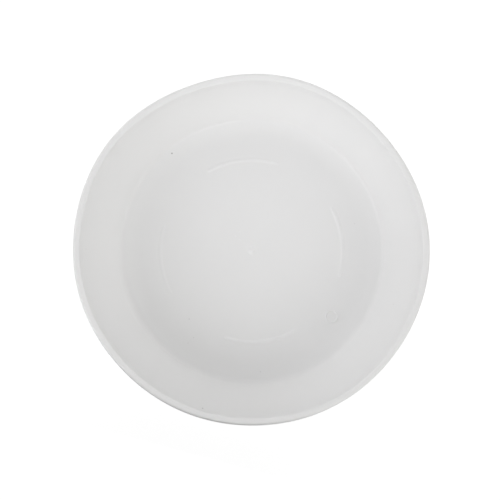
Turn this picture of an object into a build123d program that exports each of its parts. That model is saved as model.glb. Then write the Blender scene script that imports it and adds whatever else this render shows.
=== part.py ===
from build123d import *
from math import radians, tan
import os

# A round plant saucer, moulded in white plastic: a shallow flared dish with a rolled rim.
# It stands on a low foot ring, and four short ribs on its floor hold a pot clear of the water.
# Lengths are millimetres and angles are degrees. Z is the axis of the dish, and the table is at Z = 0.

# Dish
rim_diameter = 200.0
overall_height = 42.0
base_diameter = 156.0  # where the margin of the floor and the line of the wall would meet
wall_thickness = 1.6
floor_margin_share = 0.375  # part of the floor from the ribs to the wall that rises towards the wall
margin_slope = 18.0  # of that margin, from level
margin_bend_share = 0.42  # part of the margin's run that the soft bend at its inner end takes
floor_corner_share = 0.125  # part of the margin's run that the bend into the wall takes
shoulder_drop = 4.5  # from the top of the rim down to where the wall turns steeper
shoulder_slope = 74.0  # of the steeper top of the wall, from level
shoulder_reach_share = 0.4  # part of that steeper run that the soft bend takes

# Rolled rim
lip_flat = 2.0  # level stretch between the two bends of the rim
lip_radius = 1.2  # bends of the rim on the side that shows
skirt_drop = 4.0  # straight run of the turned-down edge
skirt_edge_chamfer = 0.4

# Foot ring
foot_height = 1.5
foot_width = 2.4
foot_inset = 0.8  # from the end of the flat floor to the outside of the ring
foot_edge_chamfer = 0.4

# Ribs that carry the pot
rib_count = 4
rib_circle_diameter = 107.0
rib_span = 45.0
rib_width = 1.5
rib_height = 0.3
rib_edge_chamfer = 0.15

# Traces of the moulding: the gate in the middle of the floor and the mark of one ejector pin
gate_diameter = 5.0
gate_height = 0.5
sprue_diameter = 2.2
sprue_clearance = 0.8  # from the end of the sprue's stub to the table
ejector_diameter = 7.4
ejector_line_width = 0.6
ejector_line_height = 0.15
ejector_circle_diameter = 122.0
ejector_angle = -45.0

# Levels and radii that several features share
rim_radius = rim_diameter / 2
floor_top = foot_height + wall_thickness
floor_middle = foot_height + wall_thickness / 2


def upper_corners():
    """Corners of the dish's upper surface, from the axis over the floor, the wall and the rim."""
    lip_width = lip_radius + lip_flat + lip_radius * tan(radians(shoulder_slope / 2))
    rib_outside = rib_circle_diameter / 2 + rib_width / 2
    margin = (base_diameter / 2 - rib_outside) * floor_margin_share
    floor_edge = Vector(base_diameter / 2 - margin, floor_top)
    wall_foot = floor_edge + Vector(margin, margin * tan(radians(margin_slope)))
    wall_head = Vector(rim_radius - lip_width, overall_height)
    shoulder = wall_head - Vector(shoulder_drop / tan(radians(shoulder_slope)), shoulder_drop)
    rim_edge = Vector(rim_radius, overall_height)
    skirt_end = rim_edge - Vector(0, lip_radius + skirt_drop)
    return [Vector(0, floor_top), floor_edge, wall_foot, shoulder, wall_head, rim_edge, skirt_end]


def under_corners(corners):
    """The same corners one wall thickness below or outside: each lies where its two moved runs meet."""
    runs = [(end - start).normalized() for start, end in zip(corners, corners[1:])]
    sides = [Vector(run.Y, -run.X) for run in runs]
    moved = [corners[0] + sides[0] * wall_thickness]
    for corner, before, after in zip(corners[1:], sides, sides[1:]):
        moved.append(corner + (before + after) * (wall_thickness / (1 + before.dot(after))))
    return moved + [corners[-1] + sides[-1] * wall_thickness]


def bend_radius(before, corner, after, reach):
    """Radius of the bend at a corner that takes a reach from the run on each side of it."""
    turn = (corner - before).get_angle(after - corner)
    return reach / tan(radians(turn / 2))


def shell_section():
    """Floor, wall and rim as one wall of even thickness, and the length of its flat floor."""
    corners = upper_corners()
    margin_run = (corners[2] - corners[1]).length
    steep_run = (corners[4] - corners[3]).length
    reaches = [margin_run * margin_bend_share, margin_run * floor_corner_share]
    reaches.append(steep_run * shoulder_reach_share)
    inner_radii = [bend_radius(*corners[at : at + 3], reach) for at, reach in enumerate(reaches)]
    outer_radii = [radius + wall_thickness for radius in inner_radii]
    upper = FilletPolyline(*corners, radius=inner_radii + [lip_radius, lip_radius])
    under = FilletPolyline(*under_corners(corners), radius=outer_radii + [0, 0])
    ends = [Line(upper @ 0, under @ 0), Line(upper @ 1, under @ 1)]
    shell = make_face(upper.edges() + under.edges() + ends)
    edge_corners = shell.vertices().sort_by_distance(upper @ 1)[:2]
    return chamfer(edge_corners, skirt_edge_chamfer), upper.edges()[0].length


def foot_section(flat_floor):
    """Ring under the outer end of the flat floor, with its edges broken where it meets the table."""
    ring = Rectangle(foot_width, floor_middle, align=(Align.MAX, Align.MIN))
    ring = Pos(flat_floor - foot_inset, 0) * ring
    return chamfer(ring.vertices().group_by(Axis.Y)[0], foot_edge_chamfer)


def gate_section():
    """Low dome over the gate on the upper side, and the stub of the sprue under it."""
    dome = TangentArc((0, floor_top + gate_height), (gate_diameter / 2, floor_top), tangent=(1, 0))
    below = Polyline(dome @ 1, (gate_diameter / 2, floor_middle), (0, floor_middle), dome @ 0)
    stub = Rectangle(sprue_diameter / 2, floor_middle - sprue_clearance, align=(Align.MIN, Align.MAX))
    return make_face(dome + below) + Pos(0, floor_middle) * stub


def ejector_mark():
    """Raised line round the place of the ejector pin, standing on the floor."""
    ring = Circle(ejector_diameter / 2) - Circle(ejector_diameter / 2 - ejector_line_width)
    ring = extrude(ring, floor_top + ejector_line_height - floor_middle)
    return Rot(0, 0, ejector_angle) * Pos(ejector_circle_diameter / 2, 0, floor_middle) * ring


def dish():
    """The whole moulding but for its ribs: one section turned about the axis, and the pin's mark."""
    shell, flat_floor = shell_section()
    section = shell + foot_section(flat_floor) + gate_section()
    return revolve(Plane.XZ * section, Axis.Z) + ejector_mark()


def pot_rib(direction):
    """One rib: a bar bent round the axis, standing on the floor, with round ends and broken upper edges."""
    centre_line = CenterArc((0, 0), rib_circle_diameter / 2, direction - rib_span / 2, rib_span)
    rib = extrude(Pos(0, 0, floor_top) * SlotArc(centre_line, rib_width), rib_height)
    return chamfer(rib.edges().group_by(Axis.Z)[-1], rib_edge_chamfer)


os.makedirs("parts", exist_ok=True)
export_step(dish(), "parts/dish.step")
for number in range(rib_count):
    direction = number * 360 / rib_count
    export_step(pot_rib(direction), f"parts/pot_rib_{number + 1}.step")
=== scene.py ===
import bpy
import numpy as np
from mathutils import Matrix, Vector


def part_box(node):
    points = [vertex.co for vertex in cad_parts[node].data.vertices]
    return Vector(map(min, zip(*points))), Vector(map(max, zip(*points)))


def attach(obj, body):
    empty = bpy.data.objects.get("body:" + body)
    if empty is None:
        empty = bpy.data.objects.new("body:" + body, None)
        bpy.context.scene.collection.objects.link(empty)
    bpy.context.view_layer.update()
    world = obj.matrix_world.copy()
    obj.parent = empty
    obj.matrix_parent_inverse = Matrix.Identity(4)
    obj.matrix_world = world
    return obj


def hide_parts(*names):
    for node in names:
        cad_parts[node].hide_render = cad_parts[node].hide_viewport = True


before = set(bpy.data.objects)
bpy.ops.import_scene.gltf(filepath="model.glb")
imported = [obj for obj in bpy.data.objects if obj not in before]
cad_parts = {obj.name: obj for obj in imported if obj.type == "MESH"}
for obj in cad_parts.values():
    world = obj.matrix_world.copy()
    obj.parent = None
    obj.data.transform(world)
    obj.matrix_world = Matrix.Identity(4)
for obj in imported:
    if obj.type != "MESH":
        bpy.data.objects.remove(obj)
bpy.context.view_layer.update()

# Dish
# The saucer is one moulding of white polypropylene: a flat floor, a flared wall and a rolled rim,
# all of one wall thickness, shot through a gate in the middle of the floor. It stands on a foot ring.
mm = 0.001
rim_radius, rim_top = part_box("dish")[1].xz
floor_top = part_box("pot_rib_1")[0].z
wall = 1.6 * mm
floor_under = floor_top - wall
floor_edge = 69.1 * mm
base_radius = 77.3 * mm
margin_rise = 1.8 * mm
margin_bend = 25.0 * mm
corner_bend = 3.5 * mm
shoulder_drop = 4.5 * mm
shoulder_slope = np.radians(68.0)
shoulder_bend = 10.0 * mm
lip_bend = 1.2 * mm
lip_edge_bend = 1.9 * mm
lip_width = 4.1 * mm
skirt_drop = 5.2 * mm
skirt_edge_bend = 0.78 * mm
inner_lip_bend = 0.4 * mm
gate_top_radius = 0.7 * mm
gate_radius = 2.2 * mm
gate_height = 0.7 * mm
gate_bend = 1.2 * mm
foot_outer, foot_inner = 64.35 * mm, 61.95 * mm
foot_edge_bend = 0.5 * mm
foot_root_bend = 0.3 * mm
sprue_radius = 1.1 * mm
sprue_end = 0.8 * mm
sprue_edge_bend = 0.25 * mm
dish_steps = 288
run_cell = 5.0 * mm
least_cells = 3
turn_cell = np.radians(8.0)


def rounded_line(corners, bends):
    """Points along a line through corners, each but the ends rounded to its bend's radius.

    The line is drawn by its heading, which holds along a run and turns evenly round a bend. A bend
    takes radius * tan(turn / 2) from the run on each side. Points crowd towards the ends of a run,
    and each step goes the chord of its arc along the mean of its two headings.
    """
    runs = np.diff(corners, axis=0)
    headings = np.unwrap(np.arctan2(runs[:, 1], runs[:, 0]))
    turns = np.abs(np.diff(headings))
    taken = np.array(bends) * np.tan(turns / 2)
    spans = np.zeros(2 * len(runs) - 1)
    spans[0::2] = np.hypot(*runs.T) - np.append(0, taken) - np.append(taken, 0)
    spans[1::2] = bends * turns
    cells = np.ceil(spans / run_cell).astype(int) + least_cells
    cells[1::2] = np.ceil(turns / turn_cell)
    ends = np.append(0, np.cumsum(cells))
    step = np.arange(ends[-1] + 1)
    span = np.minimum(np.searchsorted(ends, step, side="right") - 1, len(cells) - 1)
    share = (step - ends[span]) / cells[span]
    share = np.where(span % 2 == 0, (1 - np.cos(np.pi * share)) / 2, share)
    breaks = np.append(0, np.cumsum(spans))
    along = breaks[span] + share * spans[span]
    heading = np.interp(along, breaks, np.repeat(headings, 2))
    turned = np.diff(heading)
    chord = np.diff(along) * np.sinc(turned / (2 * np.pi))
    middle = heading[:-1] + turned / 2
    moves = chord[:, None] * np.column_stack([np.cos(middle), np.sin(middle)])
    return corners[0] + np.vstack([np.zeros(2), np.cumsum(moves, axis=0)])


def moved_out(corners, distance):
    """Corners of the line that runs at one distance to the right of a line.

    Each corner goes along the sum of its two runs' right-hand normals, by distance / (1 + their dot).
    """
    runs = np.diff(corners, axis=0)
    sides = np.column_stack([runs[:, 1], -runs[:, 0]]) / np.hypot(*runs.T)[:, None]
    before, after = sides[:-1], sides[1:]
    reach = distance / (1 + np.sum(before * after, axis=1))
    inner = corners[1:-1] + (before + after) * reach[:, None]
    return np.vstack([corners[0] + sides[0] * distance, inner, corners[-1] + sides[-1] * distance])


def skin(name, grid, looped=False):
    """A smooth mesh over a grid of points, whose columns go round and meet.

    Its rows meet too if looped. Otherwise the first and last row are each drawn together to one point.
    """
    rows, columns = grid.shape[:2]
    if looped:
        points = grid.reshape(-1, 3)
        index = np.arange(rows * columns).reshape(rows, columns)
        index = np.vstack([index, index[:1]])
        faces = []
    else:
        points = np.vstack([grid[0].mean(axis=0), grid[1:-1].reshape(-1, 3), grid[-1].mean(axis=0)])
        index = 1 + np.arange((rows - 2) * columns).reshape(rows - 2, columns)
        first = np.column_stack([np.zeros(columns, int), index[0], np.roll(index[0], -1)])
        last = np.column_stack([np.full(columns, len(points) - 1), np.roll(index[-1], -1), index[-1]])
        faces = first.tolist() + last.tolist()
    beside = np.roll(index, -1, axis=1)
    quads = np.stack([index[:-1], index[1:], beside[1:], beside[:-1]], axis=-1)
    mesh = bpy.data.meshes.new(name)
    mesh.from_pydata(points.tolist(), [], faces + quads.reshape(-1, 4).tolist())
    mesh.shade_smooth()
    piece = bpy.data.objects.new(name, mesh)
    bpy.context.scene.collection.objects.link(piece)
    return piece


wall_head = np.array([rim_radius - lip_width, rim_top])
shoulder = wall_head - shoulder_drop * np.array([1 / np.tan(shoulder_slope), 1])
shell = np.array([
    [0, floor_top],
    [floor_edge, floor_top],
    [base_radius, floor_top + margin_rise],
    shoulder,
    wall_head,
    [rim_radius, rim_top],
    [rim_radius, rim_top - skirt_drop],
])
gate = np.array([
    [0, floor_top + gate_height],
    [gate_top_radius, floor_top + gate_height],
    [gate_radius, floor_top],
])
under = np.array([
    [foot_outer, floor_under],
    [foot_outer, 0],
    [foot_inner, 0],
    [foot_inner, floor_under],
    [sprue_radius, floor_under],
    [sprue_radius, sprue_end],
    [0, sprue_end],
])
section = np.vstack([gate, shell[1:], moved_out(shell, wall)[:0:-1], under])
gate_bends = [gate_bend, gate_bend]
floor_bends = [margin_bend, corner_bend, shoulder_bend]
rim_bends = [lip_bend, lip_edge_bend, skirt_edge_bend, skirt_edge_bend, inner_lip_bend, inner_lip_bend]
outer_bends = [bend + wall for bend in reversed(floor_bends)]
foot_bends = [foot_root_bend, foot_edge_bend, foot_edge_bend, foot_root_bend]
sprue_bends = [foot_root_bend, sprue_edge_bend]
section_bends = gate_bends + floor_bends + rim_bends + outer_bends + foot_bends + sprue_bends
section_line = rounded_line(section, section_bends)

# The rim has drawn out of round as it cooled: lobes, depth and direction in degrees of each wave
rim_waves = [
    (2, 0.9 * mm, 160.0),
    (3, 0.1 * mm, 50.0),
    (4, 0.2 * mm, 68.0),
    (5, 0.3 * mm, -5.0),
    (6, 0.2 * mm, 8.0),
    (7, 0.1 * mm, 32.0),
]


def turned(line, angle):
    """A line turned about the axis: point (radius, z) goes to radius * (cos, sin) of each angle.

    The radius grows by the sum of depth * cos(lobes * (angle - direction)), times the square of the
    point's height over the floor as a share of the wall's height.
    """
    lobes, depth, direction = np.array(rim_waves).T[:, :, None]
    wave = np.sum(depth * np.cos(lobes * (angle - np.radians(direction))), axis=0)
    lift = np.clip((line[:, 1] - floor_top) / (rim_top - floor_top), 0, 1) ** 2
    radius = line[:, :1] + lift[:, None] * wave
    height = np.broadcast_to(line[:, 1:], radius.shape)
    return np.stack([radius * np.cos(angle), radius * np.sin(angle), height], axis=-1)


dish = skin("dish_moulding", turned(section_line, np.linspace(0, 2 * np.pi, dish_steps, endpoint=False)))


def node(tree, kind, sockets, **settings):
    """A shader node with its settings. Each socket takes a plain value or another node's output."""
    made = tree.nodes.new("ShaderNode" + kind)
    for name, value in settings.items():
        setattr(made, name, value)
    for key, value in sockets.items():
        if isinstance(value, bpy.types.NodeSocket):
            tree.links.new(value, made.inputs[key])
        else:
            made.inputs[key].default_value = value
    return made


def on_dish(radius, direction):
    """The point of the dish's upper side at one radius of its section and one direction."""
    upper = section_line[:np.argmax(section_line[:, 0])]
    height = np.interp(radius, upper[:, 0], upper[:, 1])
    return turned(np.array([[radius, height]]), np.radians([direction]))[0, 0]


core_share = 0.3


def spots(tree, place, marks):
    """How far a place lies inside any of some round marks, from 0 to the mark's own depth.

    A mark has a radius and a direction on the dish, a size and a depth. It fades in from its edge, where
    the distance to its centre is its size, to a core of core_share of that size.
    """
    inside = 0.0
    for radius, direction, size, depth in marks:
        centre = on_dish(radius * mm, direction)
        core = core_share * size
        away = node(tree, "VectorMath", {0: place, 1: centre}, operation="DISTANCE").outputs["Value"]
        share = node(tree, "MapRange", {"Value": away, "From Min": size * mm, "From Max": core * mm,
                                        "To Min": 0.0, "To Max": depth}, interpolation_type="SMOOTHSTEP")
        inside = node(tree, "Math", {0: inside, 1: share.outputs[0]}, operation="MAXIMUM").outputs[0]
    return inside


white_low = (0.795, 0.793, 0.793, 1)
white_high = (0.815, 0.813, 0.813, 1)
cloud_scale, cloud_detail = 45.0, 3.0
streak_scale, streak_detail, streak_share = 7.0, 4.0, 0.35
# Painted highlight on raised parts: the height over the floor where it is full, and its share of the pale
# colour
highlight_rise, highlight_share = 0.3 * mm, 0.2
grain_scale, grain_detail = 1500.0, 2.0
grain_strength, grain_depth = 0.12, 0.02 * mm
tone_low, tone_high = 0.3, 0.7
rough_low, rough_high = 0.38, 0.46

# Dark specks in the plastic and pale nicks near the gate: radius in millimetres, direction in degrees,
# size in millimetres and depth of each
speck_colour = (0.16, 0.15, 0.14, 1)
specks = [
    (74.0, 123.6, 0.60, 0.75),
    (94.4, 247.5, 0.55, 0.75),
    (54.3, 222.0, 0.55, 0.20),
    (61.3, 230.7, 0.50, 0.16),
    (65.8, 229.9, 0.50, 0.12),
    (87.2, -26.5, 0.50, 0.16),
    (93.2, 174.3, 0.50, 0.16),
    (62.7, 9.2, 0.50, 0.12),
    (93.2, 1.8, 0.50, 0.10),
    (71.2, 268.7, 0.55, 0.15),
]
# The pale colour of the nicks is also the colour of the painted highlight on raised parts
nick_and_highlight_colour = (0.90, 0.90, 0.91, 1)
nicks = [
    (12.8, 131.3, 0.6, 0.5),
    (13.1, 116.0, 0.5, 0.4),
    (9.6, 131.4, 0.5, 0.4),
]

polypropylene = bpy.data.materials.new("white_polypropylene")
polypropylene.use_nodes = True
tree = polypropylene.node_tree
shader = tree.nodes["Principled BSDF"]
place = node(tree, "TexCoord", {}).outputs["Object"]

# Soft clouds, and streaks that the flow from the gate draws outward: noise over the direction from the axis
cloud = node(tree, "TexNoise", {"Vector": place, "Scale": cloud_scale, "Detail": cloud_detail}).outputs["Fac"]
level = node(tree, "VectorMath", {0: place, 1: (1, 1, 0)}, operation="MULTIPLY").outputs["Vector"]
outward = node(tree, "VectorMath", {0: level}, operation="NORMALIZE").outputs["Vector"]
streak = node(tree, "TexNoise", {"Vector": outward, "Scale": streak_scale, "Detail": streak_detail})
tone = node(tree, "Mix", {"Factor": streak_share, "A": cloud, "B": streak.outputs["Fac"]}).outputs["Result"]
white = node(tree, "Mix", {"Factor": tone, "A": white_low, "B": white_high}, data_type="RGBA")

# Painted highlight: whatever stands up from the flat floor is painted a little lighter, towards the pale nick
# colour, as if its crest caught the light
rise = node(tree, "SeparateXYZ", {0: place}).outputs["Z"]
reach = node(tree, "VectorMath", {0: level}, operation="LENGTH").outputs["Value"]
raised = node(tree, "MapRange", {"Value": rise, "From Min": floor_top, "From Max": floor_top + highlight_rise,
                                 "To Max": highlight_share}).outputs[0]
on_floor = node(tree, "Math", {0: reach, 1: foot_outer}, operation="LESS_THAN").outputs[0]
painted_highlight = node(tree, "Math", {0: raised, 1: on_floor}, operation="MULTIPLY").outputs[0]
nick_and_highlight_share = node(tree, "Math", {0: painted_highlight, 1: spots(tree, place, nicks)}, operation="MAXIMUM").outputs[0]
nicked_and_highlit = node(tree, "Mix", {"Factor": nick_and_highlight_share, "A": white.outputs["Result"], "B": nick_and_highlight_colour}, data_type="RGBA")
specked = node(tree, "Mix", {"Factor": spots(tree, place, specks), "A": nicked_and_highlit.outputs["Result"],
                             "B": speck_colour}, data_type="RGBA")

# The mould's fine spark-eroded grain stands in the surface, and the gloss changes with the tone
grain = node(tree, "TexNoise", {"Vector": place, "Scale": grain_scale, "Detail": grain_detail}).outputs["Fac"]
relief = node(tree, "Bump", {"Height": grain, "Strength": grain_strength, "Distance": grain_depth})
gloss = node(tree, "MapRange", {"Value": tone, "From Min": tone_low, "From Max": tone_high,
                                "To Min": rough_low, "To Max": rough_high})
tree.links.new(specked.outputs["Result"], shader.inputs["Base Color"])
tree.links.new(gloss.outputs[0], shader.inputs["Roughness"])
tree.links.new(relief.outputs[0], shader.inputs["Normal"])
dish.data.materials.append(polypropylene)
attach(dish, "root")
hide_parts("dish")

# Ribs that carry the pot
# Four short bent beads stand up from the floor on one circle, moulded with it. They hold the pot's
# foot clear of the water; their sides flow into the floor, and their ends run out into it.
rib_shares = [1.0, 0.75, 0.5, 1.0]  # of the full height, as some stand lower
rib_width = 1.5 * mm
rib_foot = 3.4 * mm
rib_span = np.radians(45.0)
rib_end = 2.0 * mm
rib_rows, rib_columns = 97, 32
rib_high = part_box("pot_rib_1")[1]
rib_radius = rib_high.x - rib_width / 2
rib_height = rib_high.z - floor_top
sunk = 0.03 * mm  # depth of a bead's edges in the floor
root = 0.2 * mm  # depth of its flat underside


def bead_section(width, height, columns):
    """Across and up of a closed curve: a bell over the floor and a flat underside below it.

    The bell is height * (1 + cos(2 * pi * across / width)) / 2, and its edges lie a little sunk.
    """
    share = np.linspace(1, -1, columns - 2)
    across = np.append(share, [-1, 1]) * width / 2
    up = np.append((height + sunk) * (1 + np.cos(np.pi * share)) / 2 - sunk, [-root, -root])
    return across, up


def bent_bead(direction, share):
    """A bead carried along an arc about the axis, which narrows to a point at both ends.

    Over its end's length it scales by the height of a quarter circle, sqrt(1 - (1 - away / end)^2).
    """
    across, up = bead_section(rib_foot, rib_height * share, rib_columns)
    half_arc = rib_span * rib_radius / 2 + rib_width / 2
    along = half_arc * np.sin(np.linspace(-np.pi / 2, np.pi / 2, rib_rows))
    away = np.minimum((half_arc - np.abs(along)) / rib_end, 1)
    size = np.sqrt(1 - (1 - away) ** 2)[:, None]
    angle = direction + along[:, None] / rib_radius
    radius = rib_radius + size * across
    height = floor_top + size * up
    return np.stack([radius * np.cos(angle), radius * np.sin(angle), height], axis=-1)


for number, share in enumerate(rib_shares):
    rib = skin(f"rib_{number + 1}", bent_bead(number * 2 * np.pi / len(rib_shares), share))
    rib.data.materials.append(polypropylene)
    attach(rib, "root")
    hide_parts(f"pot_rib_{number + 1}")

# Ejector mark
# The end of the pin that pushes the moulding out of its mould leaves a low raised line on the floor,
# in the same white plastic.
mark_radius = 3.4 * mm
mark_line = 1.3 * mm
mark_height = 0.25 * mm
mark_rows, mark_columns = 96, 20
mark_reach, mark_direction = 61.0 * mm, -45.0


def low_ring():
    """A bead carried round a circle: across adds to the circle's radius, and up to the floor's height."""
    across, up = bead_section(mark_line, mark_height, mark_columns)
    angle = np.linspace(0, 2 * np.pi, mark_rows, endpoint=False)[:, None]
    radius = mark_radius + across + 0 * angle
    ring = np.stack([radius * np.cos(angle), radius * np.sin(angle), up + 0 * radius], axis=-1)
    return ring + on_dish(mark_reach, mark_direction)


mark = skin("ejector_mark", low_ring(), looped=True)
mark.data.materials.append(polypropylene)
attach(mark, "root")

# Table
# A plain pale surface under the saucer. Looked at straight it is white, apart from a faint shadow,
# and it throws a little light up against the outside of the rim.
table_half = 3.0
table_colour = (0.8, 0.8, 0.8, 1)
table_seen_colour = (0.12, 0.12, 0.12, 1)
table_white = 0.965
table_glow = 0.40
table_mesh = bpy.data.meshes.new("table")
table_corners = [(-table_half, -table_half, 0), (table_half, -table_half, 0),
                 (table_half, table_half, 0), (-table_half, table_half, 0)]
table_mesh.from_pydata(table_corners, [], [(0, 1, 2, 3)])
table = bpy.data.objects.new("table", table_mesh)
bpy.context.scene.collection.objects.link(table)


def seen_rays(tree):
    """1 for rays that look at the backdrop: from the camera, by reflection or through something clear."""
    path = node(tree, "LightPath", {})
    straight, mirrored = path.outputs["Is Camera Ray"], path.outputs["Is Glossy Ray"]
    either = node(tree, "Math", {0: straight, 1: mirrored}, operation="MAXIMUM").outputs[0]
    through = path.outputs["Is Transmission Ray"]
    return node(tree, "Math", {0: either, 1: through}, operation="MAXIMUM").outputs[0]


table_material = bpy.data.materials.new("table_white")
table_material.use_nodes = True
tree = table_material.node_tree
shader = tree.nodes["Principled BSDF"]
seen = seen_rays(tree)
plain = node(tree, "Mix", {"Factor": seen, "A": table_colour, "B": table_seen_colour}, data_type="RGBA")
glow = node(tree, "MapRange", {"Value": seen, "To Min": table_glow, "To Max": table_white})
tree.links.new(plain.outputs["Result"], shader.inputs["Base Color"])
tree.links.new(glow.outputs[0], shader.inputs["Emission Strength"])
shader.inputs["Emission Color"].default_value = (1, 1, 1, 1)
shader.inputs["Specular IOR Level"].default_value = 0
shader.inputs["Roughness"].default_value = 1
table_mesh.materials.append(table_material)

# Camera
# It hangs almost straight over the saucer, turned so that the first rib lies a little above level,
# and stands a little off to the near right, so that the floor shifts against the rim.
camera_roll = np.radians(5.6)
camera_tilt = np.radians(1.3)
camera_lean = np.radians(0.5)
camera_distance = 0.885
frame_width = 0.2817
aim_right, aim_up = -0.5 * mm, -0.4 * mm
right = Vector((np.cos(camera_roll), -np.sin(camera_roll), 0))
up = Vector((np.sin(camera_roll), np.cos(camera_roll), 0))
aim = Vector((0, 0, rim_top)) + right * aim_right + up * aim_up
back = (right * np.tan(camera_lean) - up * np.tan(camera_tilt) + Vector((0, 0, 1))).normalized()
across = up.cross(back).normalized()
top = back.cross(across)
camera_data = bpy.data.cameras.new("camera")
camera_data.lens = camera_data.sensor_width * camera_distance / frame_width
camera = bpy.data.objects.new("camera", camera_data)
camera_turn = Matrix((across, top, back)).transposed().to_4x4()
camera.matrix_world = Matrix.Translation(aim + back * camera_distance) @ camera_turn
bpy.context.scene.collection.objects.link(camera)
bpy.context.scene.camera = camera
bpy.context.scene.view_settings.view_transform = "Standard"

# Light
# A room that is bright all round a little above the table and dark overhead, broad soft lamps at the sides,
# and two small lamps whose grids keep their beams on the far half of the saucer.
room_strength = 1.57
room_tint = np.array([1.0, 0.998, 0.988])
room_bands = [(0.16, 0.0), (0.20, 1.0), (0.76, 0.0)]  # sine of the height, and share of the strength
lamp_distance = 0.45
world = bpy.data.worlds.new("room")
bpy.context.scene.world = world
world.use_nodes = True
tree = world.node_tree
room = tree.nodes["Background"]
room.inputs["Strength"].default_value = room_strength
view = node(tree, "TexCoord", {}).outputs["Generated"]
sky_rise = node(tree, "SeparateXYZ", {0: view}).outputs["Z"]
bands = node(tree, "ValToRGB", {0: sky_rise})
bands.color_ramp.elements.new(room_bands[1][0])
for stop, (stop_rise, share) in zip(bands.color_ramp.elements, room_bands):
    stop.position = stop_rise
    stop.color = (*(room_tint * share), 1)
tree.links.new(bands.outputs["Color"], room.inputs["Color"])
backdrop = node(tree, "Background", {"Color": (1, 1, 1, 1), "Strength": 1.0})
mixed = node(tree, "MixShader", {0: seen_rays(tree), 1: room.outputs[0], 2: backdrop.outputs[0]})
tree.links.new(mixed.outputs[0], tree.nodes["World Output"].inputs["Surface"])


def towards(direction):
    """The level direction at an angle in the picture, anticlockwise from its right-hand side."""
    return right * np.cos(np.radians(direction)) + up * np.sin(np.radians(direction))


def lamp(name, kind, target, direction, height, energy, colour, **settings):
    """A lamp that shines on a target from a direction in the picture and a height in degrees."""
    data = bpy.data.lights.new(name, kind)
    data.energy = energy
    data.color = colour
    for key, value in settings.items():
        setattr(data, key, value)
    away = towards(direction) * np.cos(np.radians(height)) + Vector((0, 0, np.sin(np.radians(height))))
    piece = bpy.data.objects.new(name, data)
    piece.location = target + away * lamp_distance
    piece.rotation_euler = away.to_track_quat("Z", "Y").to_euler()
    piece.visible_camera = False
    bpy.context.scene.collection.objects.link(piece)


# Each soft lamp's direction and height, its energy and its colour
soft_angle = np.radians(40.0)
soft_lamps = [
    ("far", 70.0, 45.0, 0.525, (1, 1, 1)),
    ("left", 160.0, 20.0, 0.285, (0.98, 0.99, 1)),
    ("near_left", 205.0, 45.0, 0.745, (0.99, 0.99, 1)),
    ("near_right", 295.0, 45.0, 0.630, (1, 1, 0.98)),
    ("right", 340.0, 45.0, 0.235, (1, 0.99, 0.95)),
]
middle = Vector((0, 0, 0))
for name, direction, height, energy, colour in soft_lamps:
    lamp(name, "SUN", middle, direction, height, energy, colour, angle=soft_angle)

# Each beam's reach from the axis, its lamp's direction and height, its energy and spread
beam_size = 0.12
beam_colour = (0.95, 0.96, 1)
beam_direction, beam_height = 78.0, 10.0 * mm
beams = [
    ("near_beam", 60 * mm, 245.0, 60.0, 0.0058, 30.0),
    ("far_beam", 64 * mm, 75.0, 75.0, 0.0050, 40.0),
]
for name, reach, direction, height, energy, spread in beams:
    target = towards(beam_direction) * reach + Vector((0, 0, beam_height))
    lamp(name, "AREA", target, direction, height, energy, beam_colour,
         shape="DISK", size=beam_size, spread=np.radians(spread))

# Dark card
# It stands on the table by the near edge, a little higher than the rim, and keeps the low light off
# that part of the lip. The camera doesn't see it.
card_colour = (0.03, 0.03, 0.03, 1)
card_direction = 255.0
card_away, card_width, card_height = 0.125, 0.18, 0.060
card_middle = towards(card_direction) * card_away
card_side = towards(card_direction + 90.0) * card_width / 2
card_lift = Vector((0, 0, card_height))
card_corners = [card_middle - card_side, card_middle + card_side]
card_corners += [corner + card_lift for corner in reversed(card_corners)]
card_mesh = bpy.data.meshes.new("dark_card")
card_mesh.from_pydata(card_corners, [], [(0, 1, 2, 3)])
card_material = bpy.data.materials.new("dark_card")
card_material.use_nodes = True
card_shader = card_material.node_tree.nodes["Principled BSDF"]
card_shader.inputs["Base Color"].default_value = card_colour
card_mesh.materials.append(card_material)
card = bpy.data.objects.new("dark_card", card_mesh)
card.visible_camera = False
bpy.context.scene.collection.objects.link(card)
